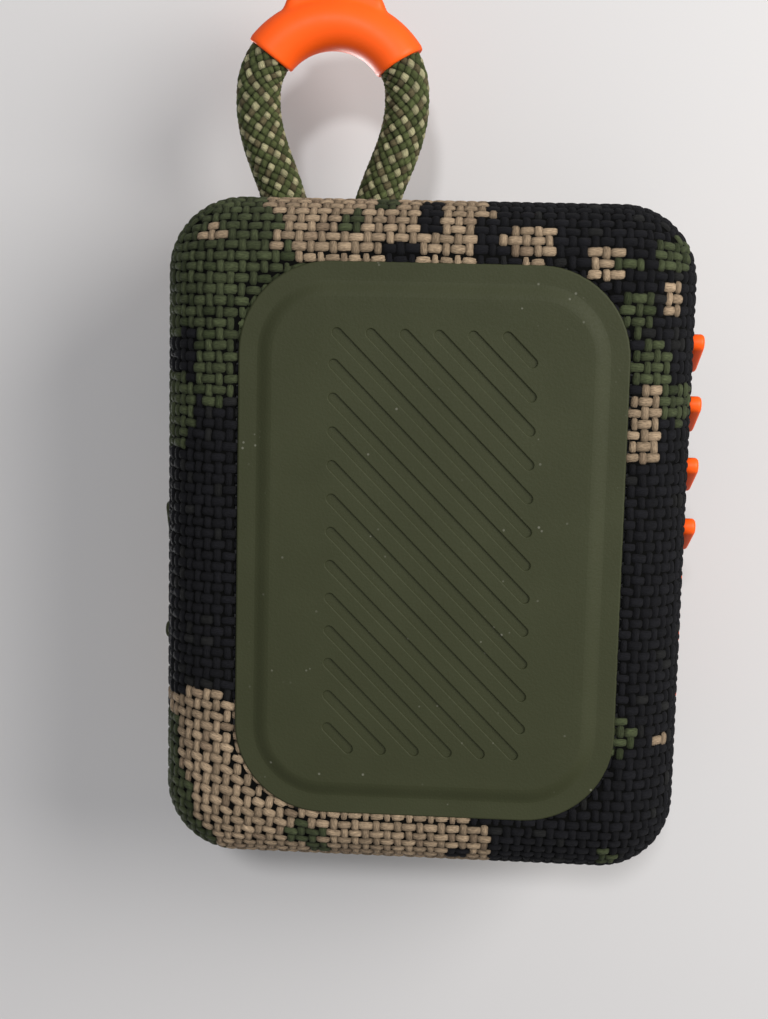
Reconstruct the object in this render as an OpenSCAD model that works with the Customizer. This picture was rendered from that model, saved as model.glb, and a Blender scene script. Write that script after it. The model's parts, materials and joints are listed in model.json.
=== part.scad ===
// Palm-size wireless speaker with a woven cover, a rope carry loop and a ribbed back pad.
// Millimetres. The origin is on the table under the middle of the body, +Z up, the front faces -Y,
// the back pad faces +Y, the play keys are on top and the rope loop leaves the -X side.

/* [Body] */
// Width of the body, from the loop side to the port side
body_w = 94.3; // [93:0.1:98]
// Height, from the feet to the tops of the play keys
body_h = 75.7; // [75:0.1:78]
// Depth, from the front cloth to the back pad
body_d = 42.2; // [42:0.1:44]
// Radius of the outline's four corners
corner_r = 10.5; // [10:0.1:11]
// Radius of the soft edge between the sides and the faces
edge_r = 9; // [8.8:0.1:9.2]
// How far the foot bars stand below the cover
foot_h = 1.8; // [1.5:0.1:2]
// How far the play keys stand above the cover
key_proud = 0.6; // [0.4:0.1:0.8]

/* [Shell] */
// Thickness of the woven cover
cover_t = 1.2; // [1:0.1:1.3]
// Wall of the two moulded housings
wall_t = 1.8; // [1.6:0.1:2]

/* [Back pad] */
// Width of the pad
pad_w = 77; // [74:0.5:78]
// Height of the pad
pad_h = 53; // [50:0.5:54]
// Corner radius of the pad
pad_r = 12.5; // [11:0.5:13]
// Width of the flat rim round the pad
pad_rim = 2.6; // [2:0.1:3]
// Width of one slanted slot
slot_w = 1.4; // [1.2:0.1:1.6]
// Distance between slots along an edge of their field
slot_pitch = 4.6; // [4.4:0.1:4.8]
// Depth of one slot
slot_depth = 0.3; // [0.2:0.1:0.9]

/* [Keys and feet] */
// Distance between play keys
key_pitch = 15.5; // [15:0.1:16.5]
// Stroke of the raised key signs
key_stroke = 2.4; // [2:0.1:2.6]
// How far a key goes down
key_travel = 0.3; // [0.2:0.05:0.3]
// Distance between foot bars
foot_pitch = 8.7; // [8.4:0.1:8.8]
// Width of one foot bar
foot_w = 2.4; // [2:0.1:2.6]

/* [Loop] */
// Thickness of the rope
rope_d = 6.5; // [6.3:0.1:6.6]
// Thickness of the sleeve over the rope's bend
sleeve_d = 7.6; // [7.5:0.1:7.9]

/* [Driver] */
// Outer radius of the driver's flange
driver_r = 22; // [21.8:0.1:22.2]

/* [Hidden] */
$fn = 48;

fit_gap = 0.05;                          // between pieces that are bonded or clipped together
over = 1;                                // how far a cutter runs past what it cuts
pad_proud = 0.5;                         // the pad's top over the cover's back face
cover_z0 = foot_h;
cover_z1 = body_h - key_proud;
cover_y0 = -body_d / 2;
cover_y1 = body_d / 2 - pad_proud;
mid_z = (cover_z0 + cover_z1) / 2;
corner_x = body_w / 2 - corner_r;
corner_z = (cover_z1 - cover_z0) / 2 - corner_r;
shell_in = cover_t + fit_gap;            // inset of the housings' outside
room_in = shell_in + wall_t;             // inset of the room inside them
split_y = -8;                            // where the two housings meet
baffle_y = -12;                          // front of the wall that carries the driver
grille_y = cover_y0 + shell_in + 0.1;
grille_t = 1.15;
grille_size = [78.1, 55.1, 7.05];        // width, height and corner radius
ledge = 1;                               // what the grille rests on
screw_at = [39, 29.6];                   // housing screws from the body's middle
room_top = cover_z1 - room_in;
side_x = body_w / 2 - shell_in;          // outside of the housing's side walls
room_x = body_w / 2 - room_in;           // inside of them

pad_z = mid_z - 0.9;
pad_y0 = cover_y1 - shell_in + 0.01;
pad_y1 = pad_y0 + 1.04;                  // top of the rim
pad_y2 = body_d / 2;                     // top of the raised field
pad_slope = 1.8;
field_x = 28.9;                          // half of the slot field's width
field_z = 13.4;                          // half of its height

rope_r = rope_d / 2;
mouth_r = 3.8;                           // holes that the rope leaves by
mouth_z = [47, 60.6];
loop_mid = [-60.8, 53.8];               // middle of the loop's bend
loop_r = 11.5;
// Route of the rope's middle, in X and Z, from the lower mouth round to the upper one
rope_route = [
  [-47.2, 47], [-49.8, 46.1], [-52.6, 45], [-55.4, 44], [-58.2, 43.3], [-61, 43],
  [-64.7, 43.3], [-68.1, 45], [-70.6, 47.8], [-71.9, 50.8], [-72.3, 53.8], [-71.9, 56.8],
  [-70.6, 59.8], [-68.1, 62.6], [-64.7, 64.3], [-61, 64.6], [-58.2, 64.3], [-55.4, 63.6],
  [-52.6, 62.6], [-49.8, 61.5], [-47.2, 60.6]
];

foot_x = -28.3;                          // first foot bar
foot_run = [3.3, -7.6];                  // one bar, from its back end to its front end
foot_y = 9;
foot_shift = 2.2;                        // the front four stand a little further forward

driver_x = -15.5;
driver_hole_r = 19.5;
driver_screw_r = 20.8;
coil_r = 6.6;
magnet_r = 13;
radiator_x = 24.5;
radiator_size = [23, 46];
side_z = 37.5;                           // middle of the side panel
side_size = [11, 46];
power_z = 52;
pairing_z = 42.5;
light_z = 34;
usb_z = 23;
usb_size = [3.2, 9];

board_y = 13;
board_t = 1.2;
board_box = [[-38, 16], [36, 60]];
board_holes = [[-35, 19], [-35, 57], [33, 19], [33, 57]];
key_board_z = 67.4;
key_y = 5.5;                             // the play keys stand towards the back
side_board_x = 40;
battery_box = [[6, -4, 16], [37, 6, 60]];

cloth = [0.22, 0.26, 0.15];
olive = [0.23, 0.25, 0.17];
orange = [0.98, 0.4, 0.16];
black = [0.08, 0.08, 0.08];
steel = [0.6, 0.6, 0.62];
green_board = [0.05, 0.3, 0.15];
copper = [0.72, 0.42, 0.2];

// ---- shared shapes ----

module slab2(w, h, r) {
  if (w > 2 * r) square([w - 2 * r, h], center = true);
  if (h > 2 * r) square([w, h - 2 * r], center = true);
  for (x = [-1, 1], y = [-1, 1]) translate([x * (w / 2 - r), y * (h / 2 - r)]) circle(r);
}

// A round-ended bar between two points
module bar2(a, b, w) {
  run = norm(b - a);
  translate(a) rotate(atan2(b[1] - a[1], b[0] - a[0])) {
    translate([0, -w / 2]) square([run, w]);
    circle(w / 2);
    translate([run, 0]) circle(w / 2);
  }
}

// Extrude an outline drawn in X and Z between two depths
module along_y(y0, y1) translate([0, y1, 0]) rotate([90, 0, 0]) linear_extrude(y1 - y0) children();

// Extrude an outline drawn in Y and Z between two widths
module along_x(x0, x1) translate([x0, 0, 0]) rotate([90, 0, 90]) linear_extrude(x1 - x0) children();

module along_z(z0, z1) translate([0, 0, z0]) linear_extrude(z1 - z0) children();

// Turn a profile of radius and depth about a line parallel to Y
module turned(x, z) translate([x, 0, z]) rotate([-90, 0, 0]) rotate_extrude() children();

function arc(c, r, a0, a1, n) = [for (i = [0 : n]) let (a = a0 + (a1 - a0) * i / n) c + r * [cos(a), sin(a)]];

// One rounded corner post of the body, inset from the cover's outside
module corner_post(inset) {
  low = [corner_r - edge_r, -cover_y1 + edge_r];
  high = [corner_r - edge_r, -cover_y0 - edge_r];
  rotate([90, 0, 0]) rotate_extrude($fn = 32) polygon(concat(
    [[0, -cover_y1 + inset]], arc(low, edge_r - inset, -90, 0, 7),
    arc(high, edge_r - inset, 0, 90, 7), [[0, -cover_y0 - inset]]));
}

// The body's soft block, inset from the cover's outside
module envelope(inset)
  hull() for (x = [-1, 1], z = [-1, 1])
    translate([x * corner_x, 0, mid_z + z * corner_z]) corner_post(inset);

module at_screws() for (x = [-1, 1], z = [-1, 1])
  translate([x * screw_at[0], mid_z + z * screw_at[1]]) children();

module at_board_holes() for (p = board_holes) translate(p) children();

module at_driver_screws() for (a = [45 : 90 : 315])
  translate([driver_x, mid_z]) rotate(a) translate([driver_screw_r, 0]) children();

module at_mouths() for (z = mouth_z) translate([0, z]) children();

module minus_sign(grow) bar2([-3.1, 0], [3.1, 0], key_stroke + 2 * grow);

module plus_sign(grow) {
  minus_sign(grow);
  bar2([0, -3.1], [0, 3.1], key_stroke + 2 * grow);
}

module play_sign(grow) hull()
  for (p = [[-2.6, -3.2], [-2.6, 3.2], [3.4, 0]]) translate(p) circle(0.9 + grow, $fn = 32);

// ---- cover, housings and grille ----

module cover_fabric() color(cloth) difference() {
  envelope(0);
  envelope(cover_t);
  along_y(body_d / 4, body_d) translate([0, pad_z]) slab2(pad_w + 0.8, pad_h + 0.8, pad_r + 0.4);
  along_x(body_w / 4, body_w) translate([0, side_z]) slab2(side_size[0] + 0.4, side_size[1] + 0.4, 5.7);
  along_x(-body_w, -body_w / 4) at_mouths() circle(mouth_r);
  along_z(mid_z, body_h + over) {
    translate([-key_pitch, key_y]) minus_sign(0.3);
    translate([0, key_y]) play_sign(0.3);
    translate([key_pitch, key_y]) plus_sign(0.3);
  }
  along_z(-over, mid_z / 4) foot_outlines(0.1);
}

module rear_housing() color(black) difference() {
  intersection() {
    envelope(shell_in);
    union() {
      difference() {
        along_y(split_y, body_d) square(3 * body_w, center = true);
        envelope(room_in);
      }
      along_y(split_y, cover_y1 - room_in + 0.5) at_screws() circle(2.9);
      along_y(board_y + board_t, cover_y1 - room_in + 0.5) at_board_holes() circle(1.8);
      along_z(key_board_z + 1, room_top + 0.5)
        for (x = [-1, 1]) translate([x * key_pitch / 2, key_y]) circle(1.3);
      along_x(side_board_x + 1.2, room_x + 0.5) for (z = [29.5, 36.6]) translate([0, z]) circle(1.1);
    }
  }
  along_y(split_y - over, 0) at_screws() circle(1);
  along_y(board_y, board_y + board_t + 3) at_board_holes() circle(0.85);
  along_x(-body_w, -room_x + over) at_mouths() circle(mouth_r);
  along_z(room_top - over, body_h) for (i = [-1 : 1]) translate([i * key_pitch, key_y]) circle(5.4);
  along_x(room_x - over, body_w / 2) {
    translate([0, power_z]) circle(3.9);
    translate([0, pairing_z]) circle(3.9);
    translate([0, light_z]) circle(0.85);
    translate([0, usb_z]) slab2(usb_size[0] + 0.6, usb_size[1] + 0.6, usb_size[0] / 2 + 0.3);
  }
  along_y(split_y - over, split_y + 0.8) gasket_outline(0.05);
}

module gasket_outline(grow) translate([0, mid_z]) {
  mid = shell_in + wall_t / 2;
  w = body_w - 2 * mid;
  h = cover_z1 - cover_z0 - 2 * mid;
  difference() {
    slab2(w + 0.8 + 2 * grow, h + 0.8 + 2 * grow, corner_r - mid + 0.4 + grow);
    slab2(w - 0.8 - 2 * grow, h - 0.8 - 2 * grow, corner_r - mid - 0.4 - grow);
  }
}

module housing_gasket() color(steel) along_y(split_y, split_y + 0.75) gasket_outline(0);

module front_housing() color(black) difference() {
  intersection() {
    envelope(shell_in);
    along_y(-body_d, split_y) square(3 * body_w, center = true);
  }
  along_y(-body_d, grille_y + grille_t) translate([0, mid_z])
    slab2(grille_size[0] + 0.3, grille_size[1] + 0.3, grille_size[2] + 0.15);
  along_y(-body_d, baffle_y) translate([0, mid_z])
    slab2(grille_size[0] - 2 * ledge, grille_size[1] - 2 * ledge, grille_size[2] - ledge);
  along_y(baffle_y - over, split_y + over) {
    translate([driver_x, mid_z]) circle(driver_hole_r);
    translate([radiator_x, mid_z]) slab2(radiator_size[0], radiator_size[1], radiator_size[0] / 2);
    at_screws() circle(1);
  }
  along_y(-body_d, baffle_y) at_screws() circle(2.2);
  along_y(baffle_y - over, split_y - 0.5) at_driver_screws() circle(0.85);
}

module front_grille() color(steel) along_y(grille_y, grille_y + grille_t) translate([0, mid_z])
  difference() {
    slab2(grille_size[0], grille_size[1], grille_size[2]);
    for (i = [-5 : 5], j = [-3 : 3]) translate([i * 7 - (abs(j) % 2) * 3.5, j * 7]) circle(2.2);
  }

module housing_screws() color(steel) {
  along_y(baffle_y - 1.3, baffle_y) at_screws() circle(1.9);
  along_y(baffle_y, -1) at_screws() circle(0.95);
}

// ---- back pad and feet ----

// Slots lie on lines where X + Z is the field's corner plus k, cut to the field, with round ends
function slot_start(k) = k > 0 ? [k - field_x, field_z] : [-field_x, field_z + k];
function slot_end(k) = k > 2 * (field_x - field_z) ? [field_x, k + field_z - 2 * field_x] : [k + 2 * field_z - field_x, -field_z];

module back_pad() color(olive) difference() {
  union() {
    along_y(pad_y0, pad_y1) translate([0, pad_z]) slab2(pad_w, pad_h, pad_r);
    hull() {
      along_y(pad_y1 - 0.2, pad_y1) translate([0, pad_z])
        slab2(pad_w - 2 * pad_rim, pad_h - 2 * pad_rim, pad_r - pad_rim);
      along_y(pad_y2 - 0.05, pad_y2) translate([0, pad_z])
        slab2(pad_w - 2 * (pad_rim + pad_slope), pad_h - 2 * (pad_rim + pad_slope), pad_r - pad_rim - pad_slope);
    }
  }
  along_y(pad_y2 - slot_depth, body_d) for (n = [-5 : 12]) {
    k = slot_pitch * (n - 0.08);
    translate([0, pad_z]) bar2(slot_start(k), slot_end(k), slot_w);
  }
}

module foot_outlines(grow) for (side = [-1, 1], i = [0 : 3]) {
  back_end = [foot_x + i * foot_pitch, foot_y];
  translate([0, side > 0 ? -foot_shift : 0])
    bar2(-side * back_end, -side * (back_end + foot_run), foot_w + 2 * grow);
}

module foot_bars() color(orange) along_z(0, foot_h + cover_t) foot_outlines(0);

// ---- rope loop ----

// A smooth point on the route at part t of the stretch after point i
function route_point(i, t) =
  let (n = len(rope_route) - 1, a = rope_route[max(i - 1, 0)], b = rope_route[i],
       c = rope_route[min(i + 1, n)], d = rope_route[min(i + 2, n)])
  0.5 * (2 * b + (c - a) * t + (2 * a - 5 * b + 4 * c - d) * t * t + (3 * b - a - 3 * c + d) * t * t * t);

function route_line(steps) = concat(
  [for (i = [0 : len(rope_route) - 2], s = [0 : steps - 1]) route_point(i, s / steps)],
  [rope_route[len(rope_route) - 1]]);

function turn_of(line, i) =
  let (d = line[min(i + 1, len(line) - 1)] - line[max(i - 1, 0)]) d / norm(d);

// Rings of the rope: each is [middle, direction, radius], and both ends are round noses
function rope_rings(line, r) =
  let (n = len(line) - 1, first = turn_of(line, 0), last = turn_of(line, n))
  concat(
    [for (a = [80 : -20 : 20]) [line[0] - first * r * sin(a), first, r * cos(a)]],
    [for (i = [0 : n]) [line[i], turn_of(line, i), r]],
    [for (a = [20 : 20 : 80]) [line[n] + last * r * sin(a), last, r * cos(a)]]);

module swept(rings, sides) {
  points = [for (ring = rings, s = [0 : sides - 1])
    let (a = 360 * s / sides, across = [-ring[1][1], ring[1][0]] * cos(a) * ring[2])
    [ring[0][0] + across[0], sin(a) * ring[2], ring[0][1] + across[1]]];
  last = (len(rings) - 1) * sides;
  polyhedron(points, concat(
    [[for (s = [0 : sides - 1]) s]],
    [for (k = [0 : len(rings) - 2], s = [0 : sides - 1])
      let (a = k * sides + s, b = k * sides + (s + 1) % sides) [a, a + sides, b + sides, b]],
    [[for (s = [sides - 1 : -1 : 0]) last + s]]), convexity = 6);
}

module loop_rope() color(cloth) swept(rope_rings(route_line(2), rope_r), 10);

module loop_sleeve() color(orange)
  translate([loop_mid[0], 0, loop_mid[1]]) rotate([90, 0, 0]) difference() {
    union() {
      rotate([0, 0, 127]) rotate_extrude(angle = 111) translate([loop_r, 0]) circle(sleeve_d / 2);
      translate([0, 0, -2.2]) rotate([0, 0, 153]) rotate_extrude(angle = 54)
        translate([loop_r + 2, 0]) square([3.1, 4.4]);
    }
    rotate([0, 0, 120]) rotate_extrude(angle = 124) translate([loop_r, 0]) circle(rope_r + 0.2);
  }

module loop_anchor() color(black) difference() {
  along_x(-room_x + fit_gap, -40.1) translate([0, 53.3]) slab2(11.5, 22.6, 2);
  along_x(-body_w, -41) at_mouths() circle(mouth_r);
}

module rope_ends() color(steel) {
  along_x(-43.9, -41) at_mouths() circle(rope_r);
  along_x(-42.6, -41) at_mouths() circle(rope_r + 0.3);
}

// ---- keys, side buttons and port ----

module key(x) translate([x, key_y, 0]) {
  along_z(cover_z1 - cover_t - 0.5, body_h) children();
  along_z(cover_z1 - cover_t - 1.3, cover_z1 - cover_t - 0.5) circle(5.1);
  along_z(key_board_z + 3.35 + key_travel + 0.05, cover_z1 - cover_t - 1.3) circle(1.5);
}

module minus_key() color(olive) key(-key_pitch) minus_sign(0);
module play_key() color(olive) key(0) play_sign(0);
module plus_key() color(olive) key(key_pitch) plus_sign(0);

module side_button(z) {
  along_x(side_board_x + 3.3, side_x - 1.3) translate([0, z]) circle(1.1);
  along_x(side_x - 1.3, side_x - 0.5) translate([0, z]) circle(3.6);
  along_x(side_x - 0.5, body_w / 2 - 0.05) translate([0, z]) circle(3);
}

module power_button() color(olive) side_button(power_z);
module pairing_button() color(olive) side_button(pairing_z);

module side_panel() color(olive) along_x(side_x + 0.02, body_w / 2 - 0.25) difference() {
  translate([0, side_z]) slab2(side_size[0], side_size[1], side_size[0] / 2);
  translate([0, power_z]) circle(3.25);
  translate([0, pairing_z]) circle(3.25);
  translate([0, light_z]) circle(0.85);
  translate([0, usb_z]) slab2(usb_size[0] + 0.6, usb_size[1] + 0.6, usb_size[0] / 2 + 0.3);
}

module status_light() color("white") along_x(side_board_x + 1.3, body_w / 2 - 0.25) translate([0, light_z]) circle(0.8);

module usb_shell() color(steel) translate([0, 0, usb_z]) difference() {
  along_x(side_board_x - 0.4, body_w / 2 - 0.75) slab2(usb_size[0], usb_size[1], usb_size[0] / 2);
  along_x(side_board_x + 0.6, body_w / 2) slab2(usb_size[0] - 0.6, usb_size[1] - 0.6, usb_size[0] / 2 - 0.3);
}

module usb_tongue() color(black) translate([0, 0, usb_z])
  along_x(side_board_x + 0.6, body_w / 2 - 1.9) square([0.7, 6.4], center = true);

// ---- boards and battery ----

module key_board() color(green_board) along_z(key_board_z, key_board_z + 1)
  translate([0, key_y]) slab2(44, 9, 1);

module key_switches() for (i = [-1 : 1]) translate([i * key_pitch, key_y, 0]) {
  color(steel) along_z(key_board_z + 1, key_board_z + 2.6) square(4, center = true);
  color(black) along_z(key_board_z + 2.6, key_board_z + 3.35) circle(1);
}

module side_board() color(green_board) along_x(side_board_x, side_board_x + 1.2) difference() {
  translate([0, 37]) slab2(10, 42, 1);
  translate([0, usb_z]) slab2(usb_size[0] + 0.3, usb_size[1] + 0.3, usb_size[0] / 2 + 0.15);
}

module side_switches() for (z = [power_z, pairing_z]) translate([0, 0, z]) {
  color(steel) along_x(side_board_x + 1.2, side_board_x + 2.2) square(4, center = true);
  color(black) along_x(side_board_x + 2.2, side_board_x + 2.95) circle(0.9);
}

module main_board() color(green_board) along_y(board_y, board_y + board_t) difference() {
  translate(board_box[0]) square(board_box[1] - board_box[0]);
  at_board_holes() circle(0.85);
}

module board_parts() {
  color(black) along_y(board_y - 1.2, board_y) {
    translate([-26, 28]) square([9, 9], center = true);
    translate([-8, 44]) square([7, 7], center = true);
    translate([12, 25]) square([5, 4], center = true);
  }
  color(steel) along_y(board_y - 1.4, board_y) {
    translate([22, 40]) square([6, 6], center = true);
    translate([24, 52]) square([4, 6], center = true);
  }
}

module board_screws() color(steel) {
  along_y(board_y - 0.8, board_y) at_board_holes() circle(1.5);
  along_y(board_y, board_y + board_t + 2.5) at_board_holes() circle(0.8);
}

module battery() color([0.3, 0.32, 0.36]) translate(battery_box[0]) cube(battery_box[1] - battery_box[0]);

// A wire through hand-chosen points in Y and Z, at one X, with a square section that follows them
module wire(x, points, w) for (i = [0 : len(points) - 2])
  hull() for (p = [points[i], points[i + 1]]) translate([x, p[0], p[1]]) cube(w, center = true);

module battery_leads() color("red") for (x = [18, 20.5])
  wire(x, [[1, 60.6], [2.5, 63.5], [7.5, 64.5], [11.5, 62], [12.4, 58]], 1);

module driver_leads() color("red") for (x = [1, 3])
  wire(x, [[1, 38.5], [5, 38.5], [9, 37], [12.4, 36]], 1);

// ---- driver and passive radiator, both turned or extruded along Y ----

module driver_basket() color(black) difference() {
  turned(driver_x, mid_z) polygon([
    [18.6, baffle_y - 1.5], [driver_r, baffle_y - 1.5], [driver_r, baffle_y], [19.3, baffle_y], [19.3, -7],
    [13.6, 1], [13.6, 2], [7.4, 2], [7.4, 1], [12.6, 1], [18.4, -7.3]]);
  along_y(baffle_y - 3, baffle_y + over) at_driver_screws() circle(0.85);
}

module driver_top_plate() color(steel) turned(driver_x, mid_z) polygon([[6.9, 2], [magnet_r, 2], [magnet_r, 3.4], [6.9, 3.4]]);

module driver_magnet() color(black) turned(driver_x, mid_z) polygon([
  [0, 2], [6, 2], [6, 8], [7.8, 8], [7.8, 3.4], [magnet_r, 3.4], [magnet_r, 10], [0, 10]]);

module driver_spider() color([0.75, 0.6, 0.3]) turned(driver_x, mid_z) difference() {
  translate([coil_r + 0.4, -2]) square([6.6, 0.8]);
  for (i = [0 : 2]) translate([8.2 + i * 2, -2.2]) square([0.9, 0.6]);
}

module driver_surround() color(black) turned(driver_x, mid_z) difference() {
  translate([17.3, -13.55]) circle(1.3);
  translate([17.3, -13.45]) circle(0.8);
  translate([15, -13.5]) square([5, 3]);
}

module driver_screws() color(steel) {
  along_y(baffle_y - 2.3, baffle_y - 1.5) at_driver_screws() circle(1.1);
  along_y(baffle_y - 1.5, split_y - 0.8) at_driver_screws() circle(0.8);
}

module driver_cone() color([0.16, 0.16, 0.17]) turned(driver_x, mid_z)
  polygon([[6.3, -6.2], [6.7, -6.2], [15.7, -12.4], [15.7, -13], [15.2, -13], [6.3, -6.9]]);

module voice_coil() color(copper) turned(driver_x, mid_z) translate([6.25, -6.1]) square([0.35, 10.3]);

module dust_cap() color(black) turned(driver_x, mid_z)
  polygon(concat(arc([0, 2.5], 12.6, -90, -55, 6), arc([0, 2.9], 12.6, -56, -90, 6)));

module radiator_surround() color(black) {
  along_y(baffle_y, baffle_y + 1.2) translate([radiator_x, mid_z]) difference() {
    slab2(radiator_size[0] - 0.1, radiator_size[1] - 0.1, radiator_size[0] / 2 - 0.05);
    slab2(16, 39, 8);
  }
  along_y(baffle_y - 1.2, baffle_y) translate([radiator_x, mid_z]) difference() {
    slab2(21.4, 44.4, 10.7);
    slab2(17.6, 40.6, 8.8);
  }
}

module radiator_plate() color([0.16, 0.16, 0.17])
  along_y(baffle_y - 0.6, baffle_y + 0.8) translate([radiator_x, mid_z]) slab2(15.4, 38.4, 7.7);

module radiator_weight() color(steel)
  along_y(baffle_y + 0.8, baffle_y + 2.4) translate([radiator_x, mid_z]) slab2(9, 24, 4.5);

cover_fabric();
rear_housing();
front_housing();
front_grille();
housing_gasket();
back_pad();
foot_bars();
side_panel();
housing_screws();
loop_anchor();
rope_ends();
loop_rope();
loop_sleeve();
minus_key();
play_key();
plus_key();
power_button();
pairing_button();
status_light();
usb_shell();
usb_tongue();
key_board();
key_switches();
side_board();
side_switches();
main_board();
board_parts();
board_screws();
battery();
battery_leads();
driver_leads();
driver_basket();
driver_magnet();
driver_top_plate();
driver_spider();
driver_surround();
driver_screws();
driver_cone();
voice_coil();
dust_cap();
radiator_surround();
radiator_plate();
radiator_weight();
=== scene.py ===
import bpy
import bmesh
import json
import math
import random
import numpy as np
from mathutils import Matrix, Vector, noise


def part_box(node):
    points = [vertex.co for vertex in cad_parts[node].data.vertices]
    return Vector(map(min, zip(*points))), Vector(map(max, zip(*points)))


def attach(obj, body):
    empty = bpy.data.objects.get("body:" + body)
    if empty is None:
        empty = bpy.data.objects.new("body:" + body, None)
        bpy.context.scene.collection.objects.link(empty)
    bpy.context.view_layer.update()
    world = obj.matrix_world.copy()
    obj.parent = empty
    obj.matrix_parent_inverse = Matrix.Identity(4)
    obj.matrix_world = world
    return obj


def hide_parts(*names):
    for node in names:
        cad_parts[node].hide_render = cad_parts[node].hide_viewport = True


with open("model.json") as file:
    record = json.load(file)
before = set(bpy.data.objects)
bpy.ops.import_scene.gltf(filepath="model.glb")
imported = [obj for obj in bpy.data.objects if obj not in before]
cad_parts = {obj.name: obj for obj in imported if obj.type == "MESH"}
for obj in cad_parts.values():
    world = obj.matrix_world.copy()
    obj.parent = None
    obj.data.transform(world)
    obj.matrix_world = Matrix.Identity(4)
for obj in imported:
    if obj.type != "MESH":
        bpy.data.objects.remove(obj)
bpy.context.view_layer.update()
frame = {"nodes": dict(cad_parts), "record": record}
nodes = frame["nodes"]
mm = 0.001
print("frame loaded")

# stage, camera and light

scene = bpy.context.scene
scene.view_settings.view_transform = "Standard"

view = {"place": (-36.55, 240.0, 29.72), "turn": (153.253, 85.961, -108.612), "lens": 76.08}
cameraData = bpy.data.cameras.new("camera")
cameraData.sensor_fit = "HORIZONTAL"
cameraData.sensor_width = 36
cameraData.lens = view["lens"]
cameraData.clip_start = 0.01
camera = bpy.data.objects.new("camera", cameraData)
camera.location = [v * mm for v in view["place"]]
camera.rotation_euler = [math.radians(v) for v in view["turn"]]
scene.collection.objects.link(camera)
scene.camera = camera

world = bpy.data.worlds.new("studio")
world.use_nodes = True
world.node_tree.nodes["Background"].inputs["Color"].default_value = (0.93, 0.94, 0.96, 1)
world.node_tree.nodes["Background"].inputs["Strength"].default_value = 0.33
scene.world = world


def addArea(name, place, target, size, watts, colour=(1, 1, 1)):
    lamp = bpy.data.lights.new(name, "AREA")
    lamp.shape = "DISK"
    lamp.size = size
    lamp.energy = watts
    lamp.color = colour
    holder = bpy.data.objects.new(name, lamp)
    holder.location = place
    holder.rotation_euler = (Vector(target) - Vector(place)).to_track_quat("-Z", "Y").to_euler()
    scene.collection.objects.link(holder)


addArea("key", (-0.46, 1.15, 0.09), (0, 0, 0.04), 0.13, 5)
addArea("window", (-0.16, 0.3, -0.3), (0, 0, 0.04), 0.34, 2.5, (1, 0.98, 0.94))
addArea("frontFill", (0.5, -1.1, 0.7), (0, 0, 0.04), 0.8, 20)


def paleMaterial(name, colour):
    # seen by the camera from its front side, and clear to everything else
    mat = bpy.data.materials.new(name)
    mat.use_nodes = True
    tree = mat.node_tree
    shader = tree.nodes["Principled BSDF"]
    shader.inputs["Base Color"].default_value = (*colour, 1)
    shader.inputs["Roughness"].default_value = 0.9
    shader.inputs["Specular IOR Level"].default_value = 0.1
    path = tree.nodes.new("ShaderNodeLightPath")
    side = tree.nodes.new("ShaderNodeNewGeometry")
    front = tree.nodes.new("ShaderNodeMath")
    front.operation = "SUBTRACT"
    front.use_clamp = True
    tree.links.new(path.outputs["Is Camera Ray"], front.inputs[0])
    tree.links.new(side.outputs["Backfacing"], front.inputs[1])
    clear = tree.nodes.new("ShaderNodeBsdfTransparent")
    mix = tree.nodes.new("ShaderNodeMixShader")
    tree.links.new(front.outputs[0], mix.inputs[0])
    tree.links.new(clear.outputs[0], mix.inputs[1])
    tree.links.new(shader.outputs[0], mix.inputs[2])
    tree.links.new(mix.outputs[0], tree.nodes["Material Output"].inputs["Surface"])
    return mat


def addPlane(name, matrix, size, mat):
    bm = bmesh.new()
    bmesh.ops.create_grid(bm, x_segments=1, y_segments=1, size=size, matrix=matrix)
    mesh = bpy.data.meshes.new(name)
    bm.to_mesh(mesh)
    bm.free()
    plane = bpy.data.objects.new(name, mesh)
    plane.data.materials.append(mat)
    scene.collection.objects.link(plane)
    return plane


low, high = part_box("cover_fabric")
# the speaker lies on its front, so the floor is just past the front face and faces +Y
floorTurn = Matrix.Translation((0, low.y - 0.0003, 0)) @ Matrix.Rotation(-math.pi / 2, 4, "X")
floor = addPlane("floor", floorTurn, 1.6, paleMaterial("floorPaint", (0.6, 0.59, 0.595)))
print("stage set")

# materials


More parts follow.
